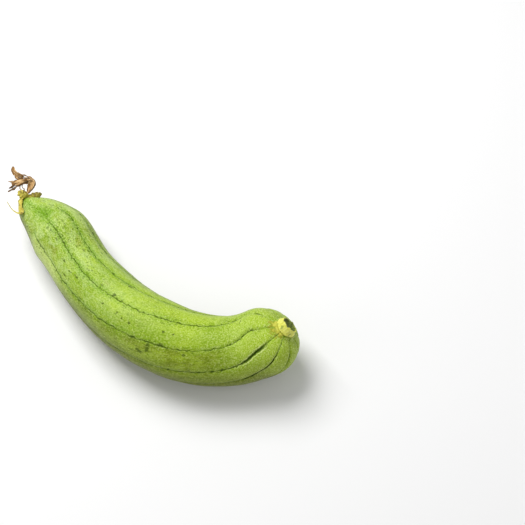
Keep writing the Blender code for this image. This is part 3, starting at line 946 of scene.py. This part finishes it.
# Painted shade over the rim on the low side of the slant.
low_side_shade = fall(times_plus(blotches, 5.0, vector_calc("DOT_PRODUCT", straight, TALL_SIDE)), -2.5, 0.5)
lumps = rise(noise(straight, 0.9, 3.0, 0.7), 0.45, 0.65)
colour = blend(rind_fibres, RIND_YELLOW, RIND_PALE)
colour = blend(times(rise(blotches, 0.55, 0.7), 0.8), colour, RIND_GREEN)
colour = blend(largest(hollow, times(low_side_shade, 0.8)), colour, blend(lumps, HOLLOW_SHADE, HOLLOW_GREEN))
finish(shader, colour, rind_fibres, 0.8)
print("stub finished with", len(tree.nodes), "nodes")

# %% [markdown]
# The calyx and the withered flower are thin leaves that wind through space in every direction. A Curve
# modifier would flip them where their path turns upright, so a strip is modelled flat, tapered and crumpled
# with modifiers, and its points are then carried along the path by a short function that keeps the strip from
# twisting unless it is told to.

# %% Strips that follow a path
STRIP_COLUMNS = 8
EDGE_STARTS = {True: 1, False: 2.3}  # where the waves of the two edges start, in radians


def path_through(points, steps):
    """Places along a smooth curve through some at the blossom end, with some steps between each two."""
    tables = [[(i, point[axis]) for i, point in enumerate(points)] for axis in range(3)]
    ats = [i / steps for i in range((len(points) - 1) * steps + 1)]
    places = [[smooth(table, at) for table in tables] for at in ats]
    return [Vector((-out, side, up)) * MM for out, side, up in places]


def shares_along(path):
    """How far along a path each of its places lies, from zero to one."""
    return [i / (len(path) - 1) for i in range(len(path))]


def uneven_widths(draw, width, outline, shares, spread):
    """Widths of a strip by an outline, each a little off at random."""
    return [width * smooth(outline, share) * draw.uniform(1 - spread, 1 + spread) for share in shares]


def frames_along(path, across):
    """The directions of the width and of the thickness at each place of a path."""
    frames = []
    for i in range(len(path)):
        along = (path[min(i + 1, len(path) - 1)] - path[max(i - 1, 0)]).normalized()
        across = (across - along * across.dot(along)).normalized()
        frames.append((across, along.cross(across)))
    return frames


def keep_strip_map(strip):
    """A UV map for a flat strip: along it and across it, from zero to one."""
    points = points_of(strip)
    corners = read_all(strip.data.loops, "vertex_index")
    along = points[corners, 0] / points[:, 0].max()
    across = 0.5 + 0.5 * points[corners, 1] / np.abs(points[:, 1]).max()
    layer = strip.data.uv_layers[0] if strip.data.uv_layers else strip.data.uv_layers.new()
    layer.name = "strip"
    fill_map(layer, along, across)


def model_strip(name, widths_mm):
    """A flat strip along X with its map, one unit long a row, as wide at each row as told."""
    rows = len(widths_mm)
    start_alone()
    bpy.ops.mesh.primitive_grid_add(x_subdivisions=rows - 1, y_subdivisions=STRIP_COLUMNS, size=1)
    strip = bpy.context.object
    strip.name = name
    bpy.ops.object.mode_set(mode="EDIT")
    bpy.ops.mesh.select_all(action="SELECT")
    bpy.ops.transform.resize(value=(rows - 1, 1, 1), center_override=(-0.5, 0, 0))
    bpy.ops.transform.translate(value=(0.5, 0, 0))
    for row, width in enumerate(widths_mm):
        pick(strip, lambda co: abs(co.x - row) < 0.25)
        bpy.ops.transform.resize(value=(1, width * MM, 1), center_override=(row, 0, 0))
    bpy.ops.object.mode_set(mode="OBJECT")
    keep_strip_map(strip)
    return strip


def lay_along(strip, path, across, rolls_deg, cupped_mm, wave_mm, waves=3.0):
    """Carry a flat strip along a path, rolled about it, hollowed across and waved at its edges."""
    frames = frames_along(path, across)
    half = max(abs(vert.co.y) for vert in strip.data.vertices)
    for vert in strip.data.vertices:
        row = min(max(round(vert.co.x), 0), len(path) - 1)
        side, normal = frames[row]
        roll = math.radians(rolls_deg[row])
        edge = vert.co.y / half
        wave = math.sin(2 * math.pi * waves * row / len(path) + EDGE_STARTS[edge > 0])
        lift = (cupped_mm * edge * edge + wave_mm * edge * wave) * MM
        u = vert.co.y * math.cos(roll) - lift * math.sin(roll)
        v = vert.co.y * math.sin(roll) + lift * math.cos(roll)
        vert.co = path[row] + side * u + normal * v


def thicken(piece, thickness_mm):
    """Give a thin sheet its thickness, half of it to each side."""
    modifier = piece.modifiers.new("thickness", "SOLIDIFY")
    modifier.thickness = thickness_mm * MM
    modifier.offset = 0
    apply_all(piece)


def join(pieces, name):
    """Join pieces into one object."""
    work_on(pieces[0])
    for piece in pieces[1:]:
        piece.select_set(True)
    bpy.ops.object.join()
    pieces[0].name = name
    return pieces[0]


# %% [markdown]
# The calyx is a shallow cup with five long-pointed sepals, gone yellow. One is folded over and lies down the
# side of the fruit, one stands up and is split in two, a thick brown one lies to the right, and two hang
# behind. Most of them end in a thin point. The one that stands is torn off, and the brown one has a ragged
# edge. A sepal's numbers are its width, its outline, its twist in degrees, its thickness, how brown it is,
# and its path: places out from the end of the fruit, to the side and up.

# %% Model the calyx
CUP_PROFILE_MM = ((0.3, 4.4), (0.5, 4.9), (1.1, 5.6), (1.8, 6.3), (2.2, 6.1), (2.1, 5.4), (1.7, 4.4),
                  (1.2, 3.1), (1.3, 1.6))
CUP_COLUMNS = 48
POINTED = ((0, 1), (0.3, 0.9), (0.6, 0.62), (0.85, 0.3), (1, 0.08))
BROAD_THEN_HAIR = ((0, 0.85), (0.25, 1), (0.45, 0.95), (0.56, 0.7), (0.66, 0.25), (0.8, 0.13), (1, 0.07))
TORN = ((0, 0.95), (0.3, 1), (0.6, 0.8), (0.72, 0.95), (0.84, 0.55), (1, 0.2))
RAGGED = ((0, 0.7), (0.2, 1), (0.34, 0.72), (0.5, 1.1), (0.62, 0.8), (0.78, 1.05), (0.9, 0.6), (1, 0.3))
SEPALS = (
    (5.4, BROAD_THEN_HAIR, 0, 0.5, 0.25, (
        (0.8, -2.2, 3.8), (1.0, -3.6, 5.8), (-1.0, -6.0, 7.4), (-3.8, -8.1, 8.2), (-5.8, -9.8, 8.4),
        (-6.0, -11.8, 7.6), (-4.2, -13.2, 6.6), (-0.7, -14.0, 5.7), (4.8, -14.1, 5.0))),
    (6.6, TORN, 0, 0.5, 0.35, ((1.0, -0.8, 3.6), (3.4, -0.8, 4.8), (5.8, -1.4, 5.0), (8.6, -2.2, 4.2))),
    (4.8, POINTED, 20, 0.5, 0.45, ((1.2, 1.6, 3.4), (3.8, 1.6, 4.4), (6.0, 1.2, 4.4), (8.0, 0.2, 3.6))),
    (6.2, RAGGED, 75, 1.4, 0.75, (
        (0.6, 3.4, 2.6), (-0.2, 6.0, 4.2), (-1.8, 8.8, 5.0), (-3.2, 11.2, 4.8), (-3.8, 13.2, 4.0))),
    (4.6, POINTED, 0, 0.5, 0.3, ((0.8, 1.7, -4.0), (1.5, 3.0, -7.2), (-0.4, 4.4, -10.4), (-3.6, 5.6, -12.8))),
    (4.8, POINTED, 0, 0.5, 0.2, (
        (0.8, -1.2, -4.2), (2.0, -2.4, -7.0), (2.4, -3.6, -9.6), (1.6, -4.6, -11.6))),
)
SEPAL_ROWS = 8
SEPAL_SPREAD = 0.16

cup = turn_form("cup", [(-up, radius) for up, radius in CUP_PROFILE_MM], CUP_COLUMNS)
push(cup, 0.9, cloud_mm=2.2)
draw = random.Random(11)
sepals = []
for width, outline, twist, thickness, browned, points in SEPALS:
    path = path_through(points, SEPAL_ROWS)
    shares = shares_along(path)
    sepal = model_strip("sepal", uneven_widths(draw, width, outline, shares, SEPAL_SPREAD))
    root = math.atan2(points[0][1], points[0][2])
    rolls = [twist * min(1, 4 * share) for share in shares]
    lay_along(sepal, path, Vector((0, math.cos(root), -math.sin(root))), rolls, cupped_mm=-0.9, wave_mm=0.5)
    push(sepal, 0.8, cloud_mm=2.6)
    thicken(sepal, thickness)
    keep_attribute(sepal, "browned", np.full(len(sepal.data.vertices), browned))
    sepals.append(sepal)
calyx = join([cup] + sepals, "dry_calyx")
subdivide(calyx, 1)
keep_attribute(calyx, "straight", points_of(calyx))
bend(calyx)
bpy.ops.object.shade_smooth()
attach(calyx, "root")
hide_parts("calyx")
print("calyx:", len(calyx.data.polygons), "faces")

# %% [markdown]
# The sepals are a ribbed yellow, olive near their root, and browned where they are old. Each kept its own
# number for how brown it is.

# %% Finish the calyx
CALYX_YELLOW = (0.52, 0.42, 0.03)
CALYX_PALE = (0.70, 0.62, 0.12)
CALYX_OLIVE = (0.28, 0.25, 0.01)
CALYX_BROWN = (0.13, 0.07, 0.015)
CALYX_ROOT = (0.5, 1.5, 2.5)

tree, shader = new_material(calyx, "dry_calyx", 0.7)
straight = attribute(tree, "straight", "Vector")
browned = attribute(tree, "browned")
ribs = use_group(fibres, straight, Width=0.7, Length=5.0)
spots = use_group(specks, straight, Spacing=2.1, Length=1.6, Size=0.42, Share=0.3)
near_root = fall(vector_calc("DISTANCE", straight, CALYX_ROOT), 3.5, 7.0)
old = rise(times_plus(browned, 0.35, noise(straight, 0.33, 3.0)), 0.52, 0.72)
brown = rise(times_plus(browned, 0.3, noise(straight, 0.6, 3.0)), 0.66, 0.8)
colour = blend(ribs, CALYX_YELLOW, CALYX_PALE)
colour = blend(times(largest(near_root, old), 0.8), colour, CALYX_OLIVE)
colour = blend(times(brown, 0.7), colour, CALYX_BROWN)
colour = blend(times(spots, times_plus(browned, -0.7, 0.8)), colour, CALYX_BROWN)
finish(shader, colour, ribs, 0.8)
print("calyx finished with", len(tree.nodes), "nodes")

# %% [markdown]
# The withered flower is a twist of dried petals. The trunk rises from the cup and bends over to the left, and
# torn petals and threads hang from the bend. Each is made of two strips, crumpled harder than the sepals and
# folded lengthwise in opposite ways. A strand's numbers are its width, its outline, how far it is folded, its
# roll and its twist in degrees, how dark it is, and its path. A half's numbers are its share of the fold, the
# size of its crumples and its seed.

# %% Model the withered flower
TRUNK = ((0, 0.5), (0.1, 0.65), (0.2, 1.1), (0.32, 1.25), (0.42, 1.1), (0.55, 0.95), (0.8, 0.9), (0.93, 0.7),
         (1, 0.3))
PETAL = ((0, 0.5), (0.2, 0.9), (0.5, 1), (0.8, 0.85), (1, 0.35))
STRANDS = (
    (4.8, TRUNK, 1.9, 10, 250, 0.0, (
        (1.4, 0.4, 0.0), (4.0, 2.6, 0.2), (6.4, 6.4, 1.0), (8.9, 9.6, 1.6), (11.6, 11.2, 1.6),
        (14.9, 10.4, 0.6), (17.6, 8.0, 0.2), (20.2, 5.6, 0.8), (22.8, 3.4, 1.0), (26.2, 2.6, 0.5),
        (30.0, 4.4, -0.3))),
    (3.0, PETAL, 1.1, 60, 160, 0.5, (
        (4.2, 4.4, 0.2), (6.2, 8.4, 0.0), (8.8, 12.2, 0.6), (12.2, 12.8, 0.8), (15.8, 11.4, 0.0),
        (19.2, 9.0, -0.6), (21.4, 6.4, 0.0), (23.8, 4.6, 0.4))),
    (5.4, PETAL, 1.4, 75, 30, 0.0, (
        (12.4, 11.4, 0.4), (13.8, 9.0, -0.6), (14.9, 6.0, 0.0), (15.6, 2.6, 1.0), (16.0, -0.8, 1.8),
        (16.6, -3.9, 2.0))),
    (3.0, PETAL, 1.2, 40, -100, 1.0, (
        (11.4, 11.6, 1.4), (12.6, 9.2, 2.2), (12.8, 5.6, 2.8), (12.6, 1.6, 2.8), (12.8, -2.1, 2.0),
        (12.7, -5.8, 1.0), (13.0, -9.4, 0.0))),
    (2.2, PETAL, 0.9, 60, 60, 0.2, (
        (18.4, 7.6, 0.0), (18.2, 5.0, -0.6), (19.0, 2.8, 0.0), (21.4, 2.2, 0.4), (24.0, 2.9, 0.8))),
    (1.7, PETAL, 0.7, 60, 80, 0.4, (
        (16.0, 1.6, 1.2), (17.6, -0.8, 1.4), (18.6, -2.8, 1.6), (20.1, -5.2, 1.6))),
    (1.7, PETAL, 0.7, 80, -60, 1.0, (
        (15.6, 0.4, 1.8), (15.0, -2.4, 2.2), (14.3, -5.5, 2.4), (14.6, -7.6, 2.0))),
    (2.2, PETAL, 0.9, 70, 100, 0.65, ((3.6, 3.4, 0.3), (5.6, 2.6, 0.2), (7.5, 1.8, 0.4), (9.2, 0.4, 0.6))),
    (0.9, PETAL, 0.3, 40, 90, 0.1, ((4.6, 0.2, 3.0), (7.4, 0.9, 3.2), (9.9, 0.2, 2.8), (12.2, 1.4, 2.4))),
    (0.8, PETAL, 0.3, 10, 60, 0.2, ((5.0, 1.8, 2.4), (8.2, 2.9, 2.2), (10.6, 2.4, 2.6), (12.6, 4.2, 2.4))),
)
STRAND_ROWS = 5
STRAND_SPREAD = 0.15
WAVE_SHARE = 0.35
HALVES = ((-0.35, 1.7, 0), (0.35, 2.4, 1))
UP = Vector((0, 0, 1))

draw = random.Random(7)
strands = []
for width, outline, folded, roll, twist, darkness, points in STRANDS:
    path = path_through(points, STRAND_ROWS)
    shares = shares_along(path)
    widths = uneven_widths(draw, width, outline, shares, STRAND_SPREAD)
    rolls = [roll + twist * share for share in shares]
    for lift, cloud_mm, seed in HALVES:
        petal = model_strip("petal", widths)
        lay_along(petal, path, UP, rolls, lift * folded, WAVE_SHARE * folded, waves=draw.uniform(2, 4))
        push(petal, 1.5, cloud_mm=cloud_mm, seed=seed)
        thicken(petal, 0.3)
        keep_attribute(petal, "darkness", np.full(len(petal.data.vertices), darkness))
        strands.append(petal)
corolla = join(strands, "withered_flower")
subdivide(corolla, 1)
keep_attribute(corolla, "straight", points_of(corolla))
bend(corolla)
bpy.ops.object.shade_smooth()
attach(corolla, "root")
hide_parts("withered_corolla")
print("withered flower:", len(corolla.data.polygons), "faces")

# %% [markdown]
# The dried petals are tan, with pale veins along each strip. The strip's own map carries the veins, moved a
# little from place to place, so that no two strips look alike. The grooves, the edges and some whole strands
# are dark.

# %% Finish the withered flower
PETAL_PALE = (0.80, 0.55, 0.27)
PETAL_TAN = (0.42, 0.21, 0.05)
PETAL_DARK = (0.08, 0.034, 0.004)

tree, shader = new_material(corolla, "dried_petal", 0.8)
straight = attribute(tree, "straight", "Vector")
strip_map = put(tree, "UVMap", uv_map="strip").outputs[0]
on_strip = vector_calc("ADD", scaled(strip_map, 16.0, 5.0, 0.0), scaled(straight, 0.12, 0.12, 0.12))
veins = use_group(fibres, on_strip, Width=1.0, Length=5.0)
across_strip = put(tree, "SeparateXYZ", {0: strip_map}).outputs[1]
from_middle = calc("ABSOLUTE", calc("SUBTRACT", across_strip, 0.5))
grooves = times(fall(veins, 0.15, 0.4), 0.8)
blotches = rise(noise(straight, 0.35, 3.0), 0.57, 0.68)
dark = largest(rise(from_middle, 0.25, 0.45), blotches, grooves, attribute(tree, "darkness"))
colour = blend(rise(veins, 0.3, 0.8), PETAL_TAN, PETAL_PALE)
colour = blend(times(dark, 0.85), colour, PETAL_DARK)
finish(shader, colour, veins, 1.0)
print("withered flower finished with", len(tree.nodes), "nodes")

# %% [markdown]
# The gourd lies on a plain pale floor, under a big soft lamp from above, a little behind it and to the left,
# with weaker ones in front and at both sides. Soft light shows the lobes and keeps the shadows open. A lamp's
# numbers are its place and its side in metres, and its power in watts.

# %% Floor, light and world
FLOOR_GREY = 0.87
LIT_PLACE = Vector((0, 0, 0.03))
LAMPS = (
    ("key", (-0.38, 0.5, 1.1), 0.7, 15.8),
    ("fill", (0.3, -0.9, 0.9), 1.2, 0.8),
    ("left", (-0.9, -0.4, 0.4), 0.8, 1.5),
    ("right", (0.95, -0.1, 0.4), 0.8, 1.7),
)
WORLD_LIGHT = 0.34

bpy.data.objects.remove(guide)
start_alone()
bpy.ops.mesh.primitive_plane_add(size=6, location=(0, 0, -0.5 * MM))
floor = bpy.context.object
floor.name = "floor"
tree, shader = new_material(floor, "pale_floor", 0.9)
shader.inputs["Base Color"].default_value = (FLOOR_GREY, FLOOR_GREY, FLOOR_GREY, 1)

for name, place, size, power in LAMPS:
    lamp = bpy.data.objects.new(name, bpy.data.lights.new(name, "AREA"))
    lamp.data.size = size
    lamp.data.energy = power
    lamp.location = place
    lamp.rotation_euler = (LIT_PLACE - Vector(place)).to_track_quat("-Z", "Y").to_euler()
    bpy.context.scene.collection.objects.link(lamp)
world = bpy.data.worlds.new("studio")
world.use_nodes = True
background = world.node_tree.nodes["Background"]
background.inputs["Color"].default_value = (1, 1, 1, 1)
background.inputs["Strength"].default_value = WORLD_LIGHT
bpy.context.scene.world = world
bpy.context.scene.view_settings.view_transform = "Standard"
print(len(LAMPS), "lamps and the floor in place")
